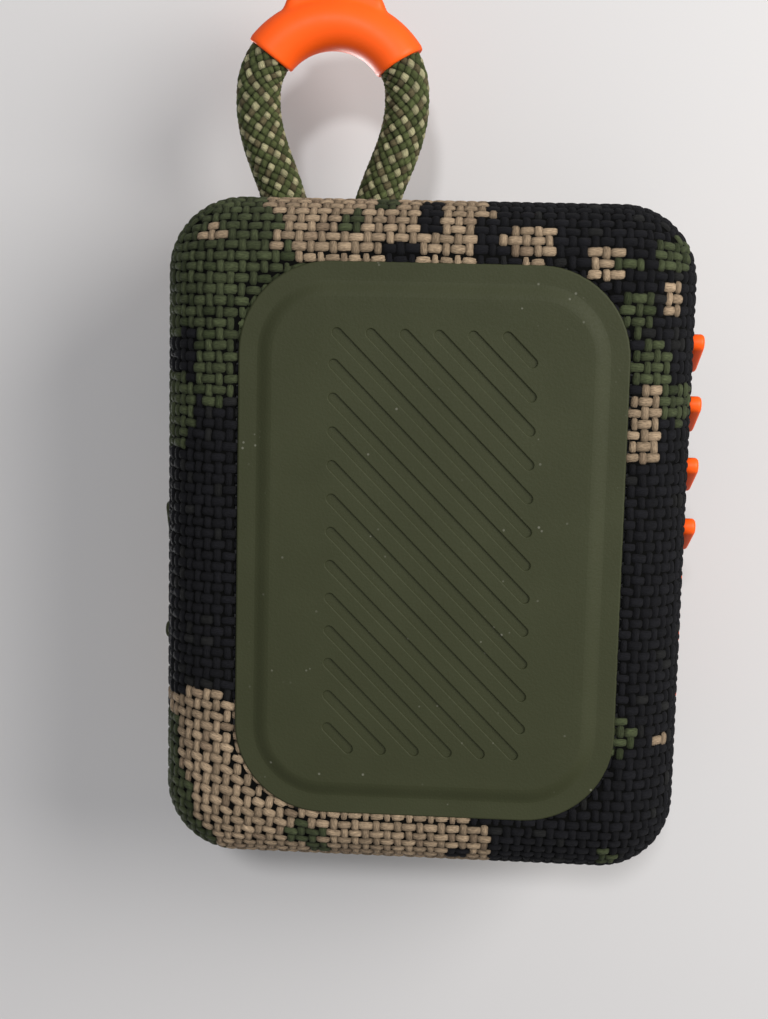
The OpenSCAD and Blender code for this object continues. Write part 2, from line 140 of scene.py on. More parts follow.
def surfaceGroup():
    # mottled colour, uneven roughness and a fine height, all from one place in space
    group = bpy.data.node_groups.new("surfaceWear", "ShaderNodeTree")
    face = group.interface
    face.new_socket(name="Place", in_out="INPUT", socket_type="NodeSocketVector")
    for name, kind, value in (
        ("Base", "NodeSocketColor", (0.5, 0.5, 0.5, 1)),
        ("Worn", "NodeSocketColor", (0.6, 0.6, 0.6, 1)),
        ("Mottle Scale", "NodeSocketFloat", 60.0),
        ("Mottle", "NodeSocketFloat", 0.5),
        ("Grain Scale", "NodeSocketFloat", 1500.0),
        ("Roughness Low", "NodeSocketFloat", 0.4),
        ("Roughness High", "NodeSocketFloat", 0.6),
    ):
        socket = face.new_socket(name=name, in_out="INPUT", socket_type=kind)
        socket.default_value = value
    for name, kind in (
        ("Color", "NodeSocketColor"),
        ("Roughness", "NodeSocketFloat"),
        ("Height", "NodeSocketFloat"),
    ):
        face.new_socket(name=name, in_out="OUTPUT", socket_type=kind)
    given = group.nodes.new("NodeGroupInput")
    made = group.nodes.new("NodeGroupOutput")
    mottle = group.nodes.new("ShaderNodeTexNoise")
    mottle.inputs["Detail"].default_value = 5
    grain = group.nodes.new("ShaderNodeTexNoise")
    grain.inputs["Detail"].default_value = 3
    share = group.nodes.new("ShaderNodeMapRange")
    share.inputs["From Min"].default_value = 0.42
    share.inputs["From Max"].default_value = 0.72
    colour = group.nodes.new("ShaderNodeMix")
    colour.data_type = "RGBA"
    rough = group.nodes.new("ShaderNodeMapRange")
    link = group.links.new
    link(given.outputs["Place"], mottle.inputs["Vector"])
    link(given.outputs["Place"], grain.inputs["Vector"])
    link(given.outputs["Mottle Scale"], mottle.inputs["Scale"])
    link(given.outputs["Grain Scale"], grain.inputs["Scale"])
    link(mottle.outputs["Fac"], share.inputs["Value"])
    link(given.outputs["Mottle"], share.inputs["To Max"])
    link(share.outputs["Result"], colour.inputs["Factor"])
    link(given.outputs["Base"], colour.inputs["A"])
    link(given.outputs["Worn"], colour.inputs["B"])
    link(grain.outputs["Fac"], rough.inputs["Value"])
    link(given.outputs["Roughness Low"], rough.inputs["To Min"])
    link(given.outputs["Roughness High"], rough.inputs["To Max"])
    link(colour.outputs["Result"], made.inputs["Color"])
    link(rough.outputs["Result"], made.inputs["Roughness"])
    link(grain.outputs["Fac"], made.inputs["Height"])
    return group


wearGroup = surfaceGroup()


def surface(name, base, worn, rough, grain, bump, mottle=0.5, mottleScale=90, metal=0.0, coat=0.0):
    mat = bpy.data.materials.new(name)
    mat.use_nodes = True
    tree = mat.node_tree
    shader = tree.nodes["Principled BSDF"]
    shader.inputs["Metallic"].default_value = metal
    shader.inputs["Coat Weight"].default_value = coat
    place = tree.nodes.new("ShaderNodeTexCoord")
    wear = tree.nodes.new("ShaderNodeGroup")
    wear.node_tree = wearGroup
    for socket, value in (
        ("Base", (*base, 1)),
        ("Worn", (*worn, 1)),
        ("Mottle Scale", mottleScale),
        ("Mottle", mottle),
        ("Grain Scale", grain),
        ("Roughness Low", rough[0]),
        ("Roughness High", rough[1]),
    ):
        wear.inputs[socket].default_value = value
    height = tree.nodes.new("ShaderNodeBump")
    height.inputs["Strength"].default_value = bump
    height.inputs["Distance"].default_value = 0.0001
    tree.links.new(place.outputs["Object"], wear.inputs["Place"])
    tree.links.new(wear.outputs["Color"], shader.inputs["Base Color"])
    tree.links.new(wear.outputs["Roughness"], shader.inputs["Roughness"])
    tree.links.new(wear.outputs["Height"], height.inputs["Height"])
    tree.links.new(height.outputs["Normal"], shader.inputs["Normal"])
    return mat


def addSpecks(mat, scale, size, colour):
    # pale dust specks over whatever colour the material already has
    tree = mat.node_tree
    shader = tree.nodes["Principled BSDF"]
    before = shader.inputs["Base Color"].links[0].from_socket
    place = tree.nodes["Texture Coordinate"]
    dots = tree.nodes.new("ShaderNodeTexVoronoi")
    dots.inputs["Scale"].default_value = scale
    near = tree.nodes.new("ShaderNodeMapRange")
    near.inputs["From Min"].default_value = size
    near.inputs["From Max"].default_value = size * 0.6
    where = tree.nodes.new("ShaderNodeTexNoise")
    where.inputs["Scale"].default_value = scale * 0.31
    few = tree.nodes.new("ShaderNodeMapRange")
    few.inputs["From Min"].default_value = 0.56
    few.inputs["From Max"].default_value = 0.66
    both = tree.nodes.new("ShaderNodeMath")
    both.operation = "MULTIPLY"
    mix = tree.nodes.new("ShaderNodeMix")
    mix.data_type = "RGBA"
    mix.inputs["B"].default_value = (*colour, 1)
    link = tree.links.new
    link(place.outputs["Object"], dots.inputs["Vector"])
    link(place.outputs["Object"], where.inputs["Vector"])
    link(dots.outputs["Distance"], near.inputs["Value"])
    link(where.outputs["Fac"], few.inputs["Value"])
    link(near.outputs["Result"], both.inputs[0])
    link(few.outputs["Result"], both.inputs[1])
    link(both.outputs[0], mix.inputs["Factor"])
    link(before, mix.inputs["A"])
    link(mix.outputs["Result"], shader.inputs["Base Color"])


def yarnMaterial(name, across, bump, sheen):
    # fibres run along each float, in its own flat coordinates in millimetres
    mat = bpy.data.materials.new(name)
    mat.use_nodes = True
    tree = mat.node_tree
    shader = tree.nodes["Principled BSDF"]
    shader.inputs["Specular IOR Level"].default_value = 0.12
    shader.inputs["Sheen Weight"].default_value = sheen
    shader.inputs["Sheen Roughness"].default_value = 0.5
    # the base colour reads the dye together with its painted shade towards each float's rim
    dyeAndPaintedShade = tree.nodes.new("ShaderNodeAttribute")
    dyeAndPaintedShade.attribute_name = "dyeAndPaintedShade"
    flat = tree.nodes.new("ShaderNodeUVMap")
    flat.uv_map = "yarn"
    stretch = tree.nodes.new("ShaderNodeMapping")
    stretch.inputs["Scale"].default_value = (1.3, across, 1)
    stretch.inputs["Rotation"].default_value = (0, 0, 0.16)
    fibre = tree.nodes.new("ShaderNodeTexNoise")
    fibre.inputs["Scale"].default_value = 1
    fibre.inputs["Detail"].default_value = 4
    fibre.inputs["Roughness"].default_value = 0.65
    tone = tree.nodes.new("ShaderNodeMapRange")
    tone.inputs["From Min"].default_value = 0.3
    tone.inputs["From Max"].default_value = 0.7
    tone.inputs["To Min"].default_value = 0.4
    tone.inputs["To Max"].default_value = 1.6
    shade = tree.nodes.new("ShaderNodeVectorMath")
    shade.operation = "SCALE"
    rough = tree.nodes.new("ShaderNodeMapRange")
    rough.inputs["To Min"].default_value = 0.7
    rough.inputs["To Max"].default_value = 0.95
    height = tree.nodes.new("ShaderNodeBump")
    height.inputs["Strength"].default_value = bump
    height.inputs["Distance"].default_value = 0.0002
    link = tree.links.new
    link(flat.outputs["UV"], stretch.inputs["Vector"])
    link(stretch.outputs["Vector"], fibre.inputs["Vector"])
    link(fibre.outputs["Fac"], tone.inputs["Value"])
    link(dyeAndPaintedShade.outputs["Color"], shade.inputs[0])
    link(tone.outputs["Result"], shade.inputs["Scale"])
    link(shade.outputs["Vector"], shader.inputs["Base Color"])
    link(fibre.outputs["Fac"], rough.inputs["Value"])
    link(rough.outputs["Result"], shader.inputs["Roughness"])
    link(fibre.outputs["Fac"], height.inputs["Height"])
    link(height.outputs["Normal"], shader.inputs["Normal"])
    return mat


materials = {
    # painted shade: the cloth under the floats is near-black so the gaps between floats read as shadow
    "camo_cloth": surface("clothBasePaintedShade", (0.003, 0.003, 0.003), (0.005, 0.005, 0.004), (0.9, 1.0), 2500, 0.5),
    "rope": surface("ropeCore", (0.008, 0.01, 0.006), (0.016, 0.016, 0.01), (0.85, 0.98), 2500, 0.5),
    "orange_silicone": surface(
        "orangeSilicone", (1.0, 0.105, 0.006), (1.0, 0.13, 0.012),
        (0.42, 0.52), 700, 0.05),
    "olive_rubber": surface(
        "oliveRubber", (0.027, 0.0305, 0.01), (0.034, 0.038, 0.0145),
        (0.6, 0.78), 3200, 0.35, 0.6),
    "housing_plastic": surface(
        "housingPlastic", (0.018, 0.018, 0.018), (0.028, 0.028, 0.027),
        (0.45, 0.62), 2200, 0.25),
    "grille_metal": surface(
        "grillePaint", (0.022, 0.022, 0.022), (0.04, 0.04, 0.04),
        (0.4, 0.55), 1800, 0.3, metal=0.4),
    "seal_rubber": surface(
        "sealRubber", (0.014, 0.014, 0.014), (0.024, 0.023, 0.022),
        (0.55, 0.75), 1500, 0.2),
    "screw_steel": surface(
        "screwSteel", (0.5, 0.5, 0.5), (0.36, 0.35, 0.33),
        (0.25, 0.4), 2600, 0.15, metal=1.0),
    "port_steel": surface(
        "portSteel", (0.6, 0.6, 0.62), (0.45, 0.45, 0.46),
        (0.18, 0.3), 2600, 0.1, metal=1.0),
    "board_laminate": surface(
        "boardLaminate", (0.015, 0.11, 0.045), (0.02, 0.16, 0.07),
        (0.25, 0.4), 900, 0.1, coat=0.3),
    "part_plastic": surface(
        "partPlastic", (0.018, 0.018, 0.02), (0.035, 0.035, 0.035),
        (0.4, 0.55), 2400, 0.2),
    "cell_wrap": surface("cellWrap", (0.09, 0.1, 0.13), (0.12, 0.13, 0.16), (0.3, 0.45), 500, 0.15),
    "wire_cover": surface("wireCover", (0.45, 0.025, 0.018), (0.52, 0.04, 0.03), (0.3, 0.45), 1200, 0.1),
    "magnet": surface(
        "magnetCoat", (0.055, 0.055, 0.06), (0.09, 0.09, 0.095),
        (0.35, 0.5), 1500, 0.2, metal=0.7),
    "cone_paper": surface("conePaper", (0.026, 0.026, 0.028), (0.045, 0.044, 0.043), (0.7, 0.9), 1600, 0.6),
    "coil_copper": surface(
        "coilCopper", (0.7, 0.3, 0.14), (0.55, 0.22, 0.1),
        (0.25, 0.4), 2400, 0.3, metal=1.0),
    "spider_cloth": surface("spiderCloth", (0.5, 0.34, 0.13), (0.6, 0.43, 0.18), (0.75, 0.9), 2400, 0.7),
    "lens": surface("lens", (0.7, 0.7, 0.67), (0.78, 0.78, 0.75), (0.15, 0.25), 800, 0.05, coat=0.4),
}
for slot, shine in (("olive_rubber", 0.3), ("orange_silicone", 0.25), ("camo_cloth", 0.03), ("rope", 0.03)):
    materials[slot].node_tree.nodes["Principled BSDF"].inputs["Specular IOR Level"].default_value = shine
addSpecks(materials["olive_rubber"], 620, 0.13, (0.12, 0.12, 0.09))
materials["weave"] = yarnMaterial("wovenYarn", 9, 1.0, 0.02)
materials["braid"] = yarnMaterial("braidYarn", 11, 0.9, 0.02)

for part in frame["record"]["subparts"]:
    shown = nodes[part["node"]]
    shown.data.materials.clear()
    shown.data.materials.append(materials[part["material_slot"]])
print("materials made")

# helpers for pieces


def addPiece(name, mesh, material, slot, body, *replaced):
    piece = bpy.data.objects.new(name, mesh)
    mesh.materials.clear()
    mesh.materials.append(materials[material])
    scene.collection.objects.link(piece)
    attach(piece, body)
    if replaced:
        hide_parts(*replaced)
    return piece


def meshFrom(bm, name, smooth=True):
    bmesh.ops.recalc_face_normals(bm, faces=bm.faces)
    for face in bm.faces:
        face.smooth = smooth
    mesh = bpy.data.meshes.new(name)
    bm.to_mesh(mesh)
    bm.free()
    return mesh


def keepFlat(mesh):
    # the level faces keep their own flat shading beside the soft edges
    for face in mesh.polygons:
        face.use_smooth = abs(face.normal.y) < 0.999
    return mesh


def roundedRect(width, height, radius, steps=10):
    points = []
    for turn, (sx, sz) in enumerate(((1, 1), (-1, 1), (-1, -1), (1, -1))):
        for i in range(steps + 1):
            angle = math.radians(90 * turn + 90 * i / steps)
            points.append((sx * (width / 2 - radius) + radius * math.cos(angle),
                           sz * (height / 2 - radius) + radius * math.sin(angle)))
    return points


def barOutline(a, b, width, steps=10):
    # round-ended bar between two points
    start, end = Vector(a), Vector(b)
    heading = math.atan2(end.y - start.y, end.x - start.x)
    points = []
    for centre, turn in ((end, -90), (start, 90)):
        for i in range(steps + 1):
            angle = heading + math.radians(turn + 180 * i / steps)
            points.append((centre.x + width / 2 * math.cos(angle), centre.y + width / 2 * math.sin(angle)))
    return points


def addPad(bm, outline, depth, soft, matrix):
    # a flat-backed block with a softly rounded face, built up +Z and then placed
    verts = [bm.verts.new((x, y, 0)) for x, y in outline]
    base = bm.faces.new(verts)
    if base.normal.z > 0:
        base.normal_flip()
    raised = bmesh.ops.extrude_face_region(bm, geom=[base])
    top = [v for v in raised["geom"] if isinstance(v, bmesh.types.BMVert)]
    bmesh.ops.translate(bm, verts=top, vec=(0, 0, depth))
    rim = {e for e in raised["geom"] if isinstance(e, bmesh.types.BMEdge)}
    made = bmesh.ops.bevel(bm, geom=list(rim), offset=soft, segments=4, profile=0.5, affect="EDGES",
                           clamp_overlap=True, material=-1)
    group = set(verts) | set(top) | set(made["verts"])
    bmesh.ops.transform(bm, matrix=matrix, verts=[v for v in group if v.is_valid])


print("helpers ready")

# woven cover

body = {
    "mid": 38.45, "coreX": 36.65, "coreZ": 26.15, "flat": 1.5, "edge": 9.0,
    "back": 20.6, "front": -21.1, "pitch": 1.527, "capReach": 10.69,
}
dyes = {
    "tan": (0.34, 0.25, 0.165),
    "green": (0.056, 0.068, 0.032),
    "black": (0.007, 0.007, 0.009),
}
# patches of colour on the back, as colour, X and height from the middle, and half sizes
backPatches = (
    ("green", -39.5, 29, 12, 11.5), ("tan", -42, 29.5, 1.5, 1.5), ("tan", -44.5, 6.5, 7, 14.5),
    ("green", -44, 10.5, 1.5, 1), ("green", -48, 6, 2, 2), ("black", -39.5, 4, 1.5, 2),
    ("black", -44.5, 0, 2.5, 2), ("black", -42.5, -8, 2, 2), ("green", -23.5, 29, 5, 3),
    ("green", -17.5, 35.5, 5, 3.5), ("tan", -41.5, -13.5, 2.5, 3.5), ("tan", -39, -23.5, 2.5, 2),
    ("green", -39, -27, 1, 2.5), ("green", -40, -33, 2.5, 2.5), ("tan", -34.5, -33, 3, 1.5),
    ("green", -32.5, -28, 3, 2), ("green", -25.5, -30.5, 3, 2.5), ("tan", -17.5, -30, 5.5, 2),
    ("green", -20.5, -34, 3, 2.5), ("tan", 27.5, 30.5, 6, 6), ("tan", 35, 29, 7.5, 7),
    ("tan", 43, 22.5, 8.5, 9), ("tan", 43.5, 5.5, 7.5, 16), ("green", 30.5, 38, 5, 3.5),
    ("green", 39, 37, 5, 5), ("green", 47, 35, 6, 7), ("green", 42, 15.5, 1.5, 3),
    ("green", 44.5, 14, 1.5, 1.5), ("black", 45, -5.5, 1, 1.5), ("green", 44.5, -27, 1.5, 1.5),
    ("green", 26, -28.5, 2.5, 2.5), ("tan", 26.5, -34.5, 1, 1),
)


def dyeAt(x, y, z):
    # placed patches on the back, and noise for the rest of the cover
    if y > 5 * noise.noise(Vector((x * 0.09, z * 0.09, 0.4))):
        found = "black"
        wobble = noise.noise(Vector((x * 0.35, z * 0.35, 3.1))) * 0.6
        for colour, px, pz, rx, rz in backPatches:
            if abs((x - px) / rx) ** 3 + abs((z - pz) / rz) ** 3 < 1 + wobble:
                found = colour
        return found
    blob = noise.noise(Vector((x * 0.055, y * 0.055, z * 0.055)) + Vector((4.2, 1.3, 7.7)))
    other = noise.noise(Vector((x * 0.075, y * 0.075, z * 0.075)) + Vector((31.0, 12.5, 5.0)))
    if other > 0.17:
        return "tan"
    return "green" if blob > 0.02 else "black"


def capPlace(a, b, lift, back):
    # flat cloth coordinates over a face and its soft edge
    cx = np.clip(a, -body["coreX"], body["coreX"])
    cz = np.clip(b, -body["coreZ"], body["coreZ"])
    dx, dz = a - cx, b - cz
    reach = np.hypot(dx, dz)
    safe = np.maximum(reach, 1e-6)
    turn = np.clip((reach - body["flat"]) / body["edge"], 0, math.pi / 2)
    out = np.where(reach < body["flat"], reach, body["flat"] + body["edge"] * np.sin(turn))
    sign = 1 if back else -1
    face = body["back"] if back else body["front"]
    nx, nz = dx / safe * np.sin(turn), dz / safe * np.sin(turn)
    ny = sign * np.cos(turn)
    x = cx + dx / safe * out + nx * lift
    z = cz + dz / safe * out + nz * lift
    y = face - sign * body["edge"] + ny * body["edge"] + ny * lift
    return np.stack([x, y, z + body["mid"]], -1), np.stack([nx, ny, nz], -1)


def bandPlace(s, t, lift):
    # cloth coordinates round the sides: s runs round the outline, t from back to front
    outer = body["flat"] + body["edge"]
    runs = (2 * body["coreX"], outer * math.pi / 2, 2 * body["coreZ"], outer * math.pi / 2)
    total = 2 * sum(runs)
    s = np.mod(s, total)
    cx, cz = np.zeros_like(s), np.zeros_like(s)
    heading = np.zeros_like(s)
    start = 0.0
    corners = ((1, 1), (1, -1), (-1, -1), (-1, 1))
    for k in range(4):
        straight = runs[0] if k % 2 == 0 else runs[2]
        angle = math.pi / 2 - k * math.pi / 2
        sx, sz = corners[k]
        px, pz = corners[k - 1]
        here = (s >= start) & (s < start + straight)
        part = (s - start) / straight
        cx = np.where(here, body["coreX"] * (px + (sx - px) * part), cx)
        cz = np.where(here, body["coreZ"] * (pz + (sz - pz) * part), cz)
        heading = np.where(here, angle, heading)
        start += straight
        here = (s >= start) & (s < start + runs[1])
        cx = np.where(here, body["coreX"] * sx, cx)
        cz = np.where(here, body["coreZ"] * sz, cz)
        heading = np.where(here, angle - (s - start) / outer, heading)
        start += runs[1]
    quarter = body["flat"] + body["edge"] * math.pi / 2
    belt = body["back"] - body["front"] - 2 * body["edge"]
    along = body["capReach"] + t
    fromBack = np.clip((along - body["flat"]) / body["edge"], 0, math.pi / 2)
    fromFront = np.clip((2 * quarter + belt - along - body["flat"]) / body["edge"], 0, math.pi / 2)
    turn = np.where(along < quarter + belt / 2, fromBack, fromFront)
    sign = np.where(along < quarter + belt / 2, 1.0, -1.0)
    out = body["flat"] + body["edge"] * np.sin(turn)
    bend = body["back"] - body["edge"]
    level = np.where(along < quarter, bend, bend - (along - quarter))
    level = np.maximum(level, body["front"] + body["edge"])
    nx, nz = np.cos(heading) * np.sin(turn), np.sin(heading) * np.sin(turn)
    ny = sign * np.cos(turn)
    x = cx + np.cos(heading) * out + nx * lift
    z = cz + np.sin(heading) * out + nz * lift
    y = level + ny * (body["edge"] + lift)
    return np.stack([x, y, z + body["mid"]], -1), np.stack([nx, ny, nz], -1)


def barGap(px, py, a, b):
    # distance from a point to the middle line of a bar
    p, start, run = Vector((px, py)), Vector(a), Vector(b) - Vector(a)
    part = max(0.0, min(1.0, (p - start).dot(run) / run.length_squared))
    return (p - start - run * part).length


def rectGap(x, z, width, height, radius):
    dx = abs(x) - (width / 2 - radius)
    dz = abs(z) - (height / 2 - radius)
    return math.hypot(max(dx, 0), max(dz, 0)) + min(max(dx, dz), 0) - radius


keyY = 5.5
pad = {
    "z": 37.55, "width": 77, "height": 53, "radius": 12.5, "top": 21.1,
    "field": 5.5, "slot": 1.62, "pitch": 4.6,
}
feet = [((-28.3 + i * 8.7, 9.0), (-25.0 + i * 8.7, 1.4)) for i in range(4)]
# the front four stand further forward
feet += [tuple((-x, -y - 2.2) for x, y in bar) for bar in feet]


def roomAt(x, y, z):
    # how far a point on the cover is from the nearest opening
    if y > 12:
        return rectGap(x, z - pad["z"], pad["width"], pad["height"], pad["radius"])
    if z > 70:
        signs = (
            barGap(x, y, (-18.6, keyY), (-12.4, keyY)) - 1.5,
            barGap(x, y, (12.4, keyY), (18.6, keyY)) - 1.5,
            barGap(x, y, (15.5, keyY - 3.1), (15.5, keyY + 3.1)) - 1.5,
            math.hypot(x + 0.4, y - keyY) - 4.1,
        )
        return min(signs)
    if z < 6:
        return min(barGap(x, y, a, b) - 1.3 for a, b in feet)
    if x > 44:
        return rectGap(y, z - 37.5, 11.4, 46.4, 5.7)
    if x < -44:
        return min(math.hypot(y, z - 47), math.hypot(y, z - 60.6)) - 4.4
    return 9.0


random.seed(7)


def addFloats(name, crossings, placeFloat, size, material, slot, bodyName, sink=0.5):
    # one domed yarn float at each crossing: u, v, whether it is a long one, colour, lean and drop
    nu, nv = 6, 4
    gu, gv = np.meshgrid(np.linspace(-1, 1, nu + 1), np.linspace(-1, 1, nv + 1), indexing="ij")
    arch = (1 - 0.98 * np.abs(gu) ** 3) ** 0.6 * (1 - 0.9 * np.abs(gv) ** 2.6) ** 0.55
    narrow = 1 - 0.22 * np.abs(gu) ** 3
    count = len(crossings)
    data = np.array([[c[0], c[1], c[5]] for c in crossings])
    rand = np.array([[random.uniform(-1, 1) for _ in range(6)] for _ in range(count)])   # the fourth is spare
    isLong = np.array([c[2] for c in crossings], dtype=bool)
    length = np.where(isLong, size[0][0], size[1][0]) * (1 + 0.09 * rand[:, 0])
    width = np.where(isLong, size[0][1], size[1][1]) * (1 + 0.09 * rand[:, 1])
    flatU = gu.ravel()[None, :] * length[:, None] / 2
    flatV = (gv * narrow).ravel()[None, :] * width[:, None] / 2
    lean = np.array([c[4] for c in crossings]) + rand[:, 2] * 0.08
    u = flatU * np.cos(lean)[:, None] - flatV * np.sin(lean)[:, None]
    v = flatU * np.sin(lean)[:, None] + flatV * np.cos(lean)[:, None]
    lift = (arch.ravel()[None, :] - 1) * sink - data[:, 2][:, None]
    points, normals = placeFloat(data[:, 0][:, None] + rand[:, 4][:, None] * 0.07 + u,
                                 data[:, 1][:, None] + rand[:, 5][:, None] * 0.07 + v, lift)
    perFloat = (nu + 1) * (nv + 1)
    points = points.reshape(-1, 3) * mm
    corner = (np.arange(nu)[:, None] * (nv + 1) + np.arange(nv)[None, :]).ravel()
    quad = np.stack([corner, corner + nv + 1, corner + nv + 2, corner + 1], -1)
    middle = points.reshape(count, perFloat, 3)[0]
    facing = np.cross(middle[quad[9][1]] - middle[quad[9][0]], middle[quad[9][3]] - middle[quad[9][0]])
    if np.dot(facing, normals.reshape(count, perFloat, 3)[0][quad[9][0]]) < 0:
        quad = quad[:, ::-1]
    faces = (np.arange(count)[:, None, None] * perFloat + quad[None]).reshape(-1, 4)
    mesh = bpy.data.meshes.new(name)
    mesh.from_pydata(points.tolist(), [], faces.tolist())
    mesh.polygons.foreach_set("use_smooth", np.ones(len(faces), dtype=bool))
    colour = np.array([c[3] for c in crossings])
    # painted shade: the dye is darkened towards each float's rim, where it dives under its neighbours
    shade = 0.2 + 0.8 * arch.ravel() ** 0.8
    colour = (colour[:, None, :] * shade[None, :, None]).reshape(-1, 3)
    dyeAndPaintedShade = mesh.color_attributes.new("dyeAndPaintedShade", "FLOAT_COLOR", "POINT")
    dyeAndPaintedShade.data.foreach_set("color", np.concatenate([colour, np.ones((len(colour), 1))], 1).ravel())
    yarn = mesh.uv_layers.new(name="yarn")
    offset = rand[:, 4:6] * 40
    flat = np.stack([flatU + offset[:, :1], flatV + offset[:, 1:]], -1).reshape(-1, 2)
    yarn.data.foreach_set("uv", flat[faces.ravel()].ravel())
    mesh.update()
    return addPiece(name, mesh, material, slot, bodyName)


def yarnDye(kind, along):
    # one thread's colour: its patch, how faded it is, and a few odd threads
    base = dyes[kind]
    fade = random.uniform(0.75, 1.2)
    if kind == "tan" and random.random() < 0.06:
        base = (0.25, 0.18, 0.12)
    if kind == "green" and random.random() < 0.12:
        base = (0.036, 0.046, 0.02)
    if kind == "black" and random.random() < 0.08:
        base = (0.014, 0.014, 0.014)
    if not along:
        fade *= 0.85
    return tuple(v * fade for v in base)


def capCrossings(back):
    found = []
    pitch = body["pitch"]
    countX, countZ = 31, 24
    for i in range(-countX, countX):
        for j in range(-countZ, countZ):
            a, b = (i + 0.5) * pitch, (j + 0.5) * pitch
            reach = math.hypot(max(abs(a) - body["coreX"], 0), max(abs(b) - body["coreZ"], 0))
            if reach > body["capReach"]:
                continue
            place, _ = capPlace(np.array([a]), np.array([b]), np.array([0.0]), back)
            x, y, z = place[0]
            gap = roomAt(x, y, z) if back else 9.0
            if gap < (-0.9 if y > 12 else 0.35):
                continue
            drop = 0.45 * min(1.0, max(0.0, (1.3 - gap) / 1.6))
            alongZ = (i + j) % 2 == 0
            kind = dyeAt(x, y, z - body["mid"])
            lean = (0 if not alongZ else math.pi / 2) + 0.12 * noise.noise(Vector((a * 0.1, b * 0.1, 0.5)))
            pull = max(0.0, 1 - math.hypot((a - 38) / 22, (b - 27) / 20)) if back else 0
            lean += (0.6 if alongZ else 0.1) * pull                 # the cloth is pulled askew at one corner
            found.append((a, b, alongZ, yarnDye(kind, alongZ), lean, drop))
    return found


def bandCrossings(first, last):
    found = []
    outer = body["flat"] + body["edge"]
    total = 4 * (body["coreX"] + body["coreZ"]) + 2 * math.pi * outer
    columns, rows = 208, 22
    depth = 2 * (body["flat"] + body["edge"] * math.pi / 2) + body["back"] - body["front"] - 2 * body["edge"]
    depth -= 2 * body["capReach"]
    for i in range(first, last):
        for j in range(rows):
            s, t = (i + 0.5) * total / columns, (j + 0.5) * depth / rows
            place, _ = bandPlace(np.array([s]), np.array([t]), np.array([0.0]))
            x, y, z = place[0]
            gap = roomAt(x, min(y, 11.9), z)
            if gap < 0.35:
                continue
            drop = 0.3 * max(0.0, 1 - (gap - 0.35) / 0.8) if gap < 1.15 else 0.0
            around = (i + j) % 2 == 0
            lean = (0 if around else math.pi / 2) + 0.1 * noise.noise(Vector((s * 0.1, t * 0.1, 9.5)))
            found.append((s, t, around, yarnDye(dyeAt(x, y, z - body["mid"]), around), lean, drop))
    return found


floatSize = ((2.3, 1.3), (1.95, 1.14))      # length and width of the floats along and across


def makeBaseCloth():
    # the cover's own skin, thinned on both sides so that the floats stand on it; its near-black colour is
    # painted shade in the gaps
    bm = bmesh.new()
    bm.from_mesh(nodes["cover_fabric"].data)
    bmesh.ops.remove_doubles(bm, verts=bm.verts, dist=1e-6)
    for vert in bm.verts:
        x, y, z = vert.co.x / mm, vert.co.y / mm, vert.co.z / mm - body["mid"]
        cx = max(-body["coreX"], min(body["coreX"], x))
        cz = max(-body["coreZ"], min(body["coreZ"], z))
        away = Vector((x - cx, 0, z - cz))
        across = max(away.length - body["flat"], 0)
        level = max(body["front"] + body["edge"], min(body["back"] - body["edge"], y))
        if away.length > 1e-6:
            away = away.normalized() * across
        away.y = y - level
        if away.length < 1e-6:
            continue
        shift = -0.36 if away.length > body["edge"] - 0.6 else 0.3
        vert.co += away.normalized() * shift * mm
    for edge in bm.edges:
        edge.smooth = not (len(edge.link_faces) == 2 and edge.calc_face_angle() > 0.6)
    return meshFrom(bm, "coverBase")


addPiece("cover_base_cloth", makeBaseCloth(), "camo_cloth", "camo_cloth", "chassis", "cover_fabric")
addFloats("cover_weave_back", capCrossings(True), lambda a, b, h: capPlace(a, b, h, True), floatSize,
          "weave", "camo_cloth", "chassis")
addFloats("cover_weave_front", capCrossings(False), lambda a, b, h: capPlace(a, b, h, False), floatSize,
          "weave", "camo_cloth", "chassis")
addFloats("cover_weave_upper", bandCrossings(0, 104), bandPlace, floatSize,
          "weave", "camo_cloth", "chassis")
addFloats("cover_weave_lower", bandCrossings(104, 208), bandPlace, floatSize,
          "weave", "camo_cloth", "chassis")
print("cover woven")

# rope loop

rope = {"radius": 3.25, "under": 0.42, "around": 24, "rows": 90, "length": 0.064}
ropeRoute = [
    (-47.2, 47), (-49.8, 46.1), (-52.6, 45), (-55.4, 44), (-58.2, 43.3), (-61, 43),
    (-64.7, 43.3), (-68.1, 45), (-70.6, 47.8), (-71.9, 50.8), (-72.3, 53.8), (-71.9, 56.8),
    (-70.6, 59.8), (-68.1, 62.6), (-64.7, 64.3), (-61, 64.6), (-58.2, 64.3), (-55.4, 63.6),
    (-52.6, 62.6), (-49.8, 61.5), (-47.2, 60.6),
]


def smoothRoute(points, steps):
    line = []
    count = len(points) - 1
    for i in range(count):
        a, b = np.array(points[max(i - 1, 0)]), np.array(points[i])
        c, d = np.array(points[i + 1]), np.array(points[min(i + 2, count)])
        for k in range(steps):
            t = k / steps
            line.append(0.5 * (2 * b + (c - a) * t + (2 * a - 5 * b + 4 * c - d) * t * t
                               + (3 * b - a - 3 * c + d) * t ** 3))
    line.append(np.array(points[-1], dtype=float))
    return np.array(line)


ropeLine = smoothRoute(ropeRoute, 8)
tuck = 2.0                                        # how far the rope runs on inside each mouth
ropeLine = np.concatenate([
    [ropeLine[0] + (ropeLine[0] - ropeLine[1]) / np.linalg.norm(ropeLine[0] - ropeLine[1]) * tuck],
    ropeLine,
    [ropeLine[-1] + (ropeLine[-1] - ropeLine[-2]) / np.linalg.norm(ropeLine[-1] - ropeLine[-2]) * tuck],
])
ropeDistance = np.concatenate([[0], np.cumsum(np.linalg.norm(np.diff(ropeLine, axis=0), axis=1))])
ropeTotal = ropeDistance[-1]


